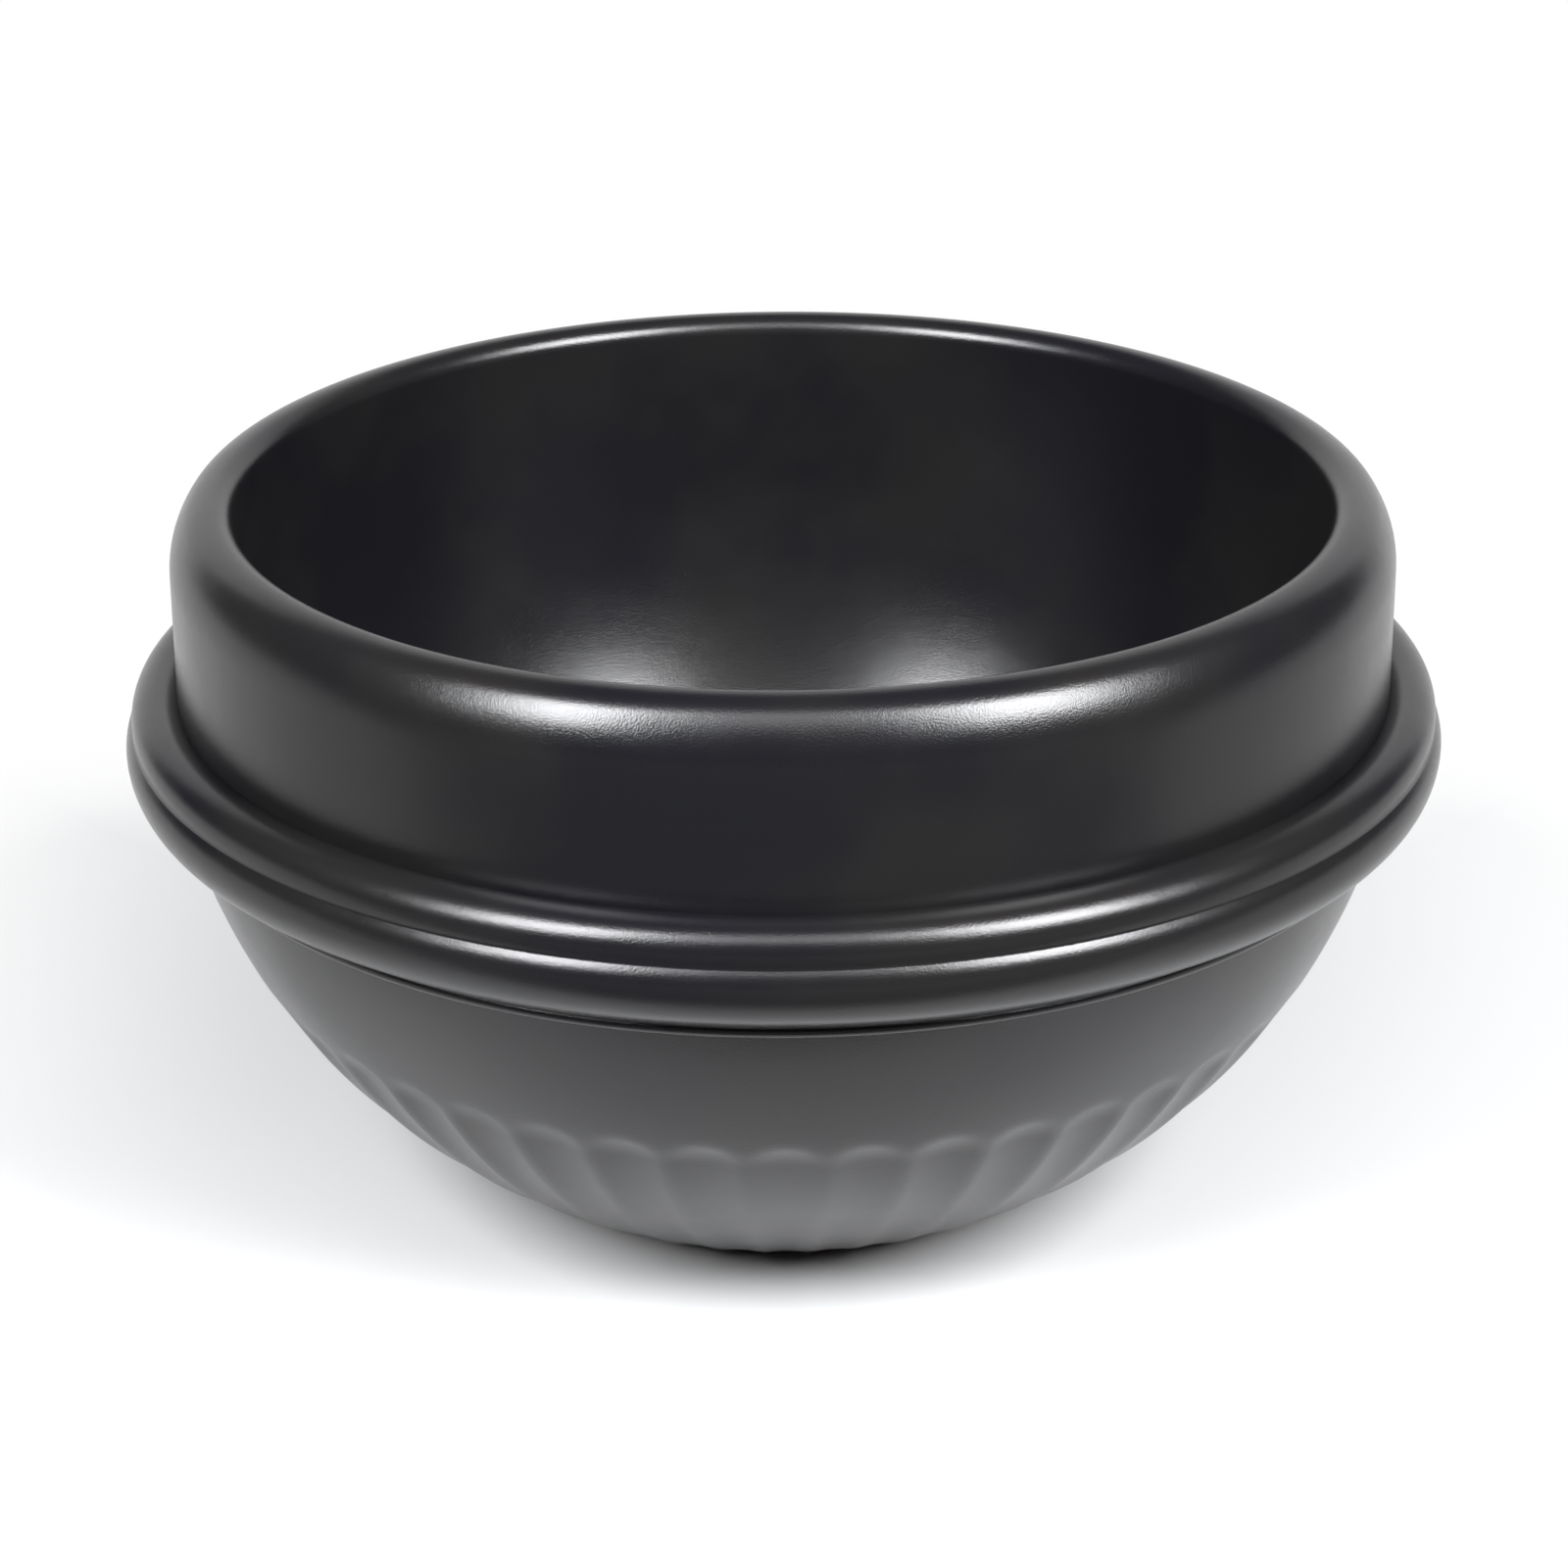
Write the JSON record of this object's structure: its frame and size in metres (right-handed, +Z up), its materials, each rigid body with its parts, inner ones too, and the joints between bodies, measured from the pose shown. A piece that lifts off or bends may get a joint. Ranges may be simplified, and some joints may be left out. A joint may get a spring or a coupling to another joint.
{
  "type": "stew pot",
  "caption": "Round earthenware stew pot with a thick upright collar, a full rounded lip, a doubled ring round the shoulder and a shallowly fluted bowl on a small flat base.",
  "frame": {"origin": "centre of the flat base, at the lowest point of the pot", "axes": "+Z up along the axis of turning; X and Y level, with the pot the same all round"},
  "size_m": [0.174, 0.174, 0.097],
  "materials": {
    "glaze": "gloss"
  },
  "bodies": {
    "root": {"stew_pot": "glaze"}
  },
  "joints": []
}
